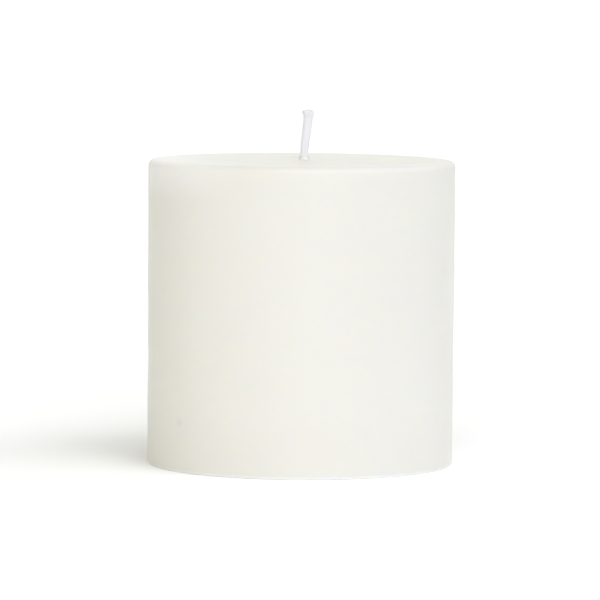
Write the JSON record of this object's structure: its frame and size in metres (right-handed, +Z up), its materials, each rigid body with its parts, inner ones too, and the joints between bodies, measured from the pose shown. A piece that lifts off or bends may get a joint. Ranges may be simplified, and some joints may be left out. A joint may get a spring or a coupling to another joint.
{
  "type": "pillar candle",
  "caption": "Plain round pillar candle as wide as it is tall, with a flat top and a short bendable braided wick, used as the centre candle of a wedding ceremony.",
  "frame": {"origin": "centre of the flat base, on the wax axis", "axes": "+Z up along the wax axis; the wick leans slightly towards +X; the front faces -Y"},
  "size_m": [0.0762, 0.0762, 0.0883],
  "materials": {
    "skin_wax": "satin",
    "core_wax": "matte",
    "plug_wax": "satin",
    "wick_cotton": "matte",
    "tinned_steel": "satin"
  },
  "bodies": {
    "candle": {"wax_core": "core_wax", "outer_wax_skin": "skin_wax", "base_plug": "plug_wax", "wick_tab": "tinned_steel", "wick_in_wax": "wick_cotton"},
    "wick_root": {"wick_root": "wick_cotton"},
    "wick_lower": {"wick_lower": "wick_cotton"},
    "wick_upper": {"wick_upper": "wick_cotton"},
    "wick_tip": {"wick_tip": "wick_cotton"}
  },
  "joints": [
    {"name": "wick_sideways_low", "type": "hinge", "parent": "candle", "child": "wick_root", "pos_m": [0.0005, 0, 0.077], "axis": [0, 1, 0], "range_deg": [-30, 30]},
    {"name": "wick_forwards_low", "type": "hinge", "parent": "wick_root", "child": "wick_lower", "pos_m": [0.00076, 0, 0.07981], "axis": [0.9959, 0, -0.0906], "range_deg": [-30, 30]},
    {"name": "wick_sideways_high", "type": "hinge", "parent": "wick_lower", "child": "wick_upper", "pos_m": [0.00111, 0, 0.08261], "axis": [0, 1, 0], "range_deg": [-30, 30]},
    {"name": "wick_forwards_high", "type": "hinge", "parent": "wick_upper", "child": "wick_tip", "pos_m": [0.00141, 0, 0.08541], "axis": [0.9945, 0, -0.1045], "range_deg": [-30, 30]}
  ],
  "couplings": [
    {"joint": "wick_sideways_high", "follows": "wick_sideways_low", "ratio": 1},
    {"joint": "wick_forwards_high", "follows": "wick_forwards_low", "ratio": 1}
  ]
}
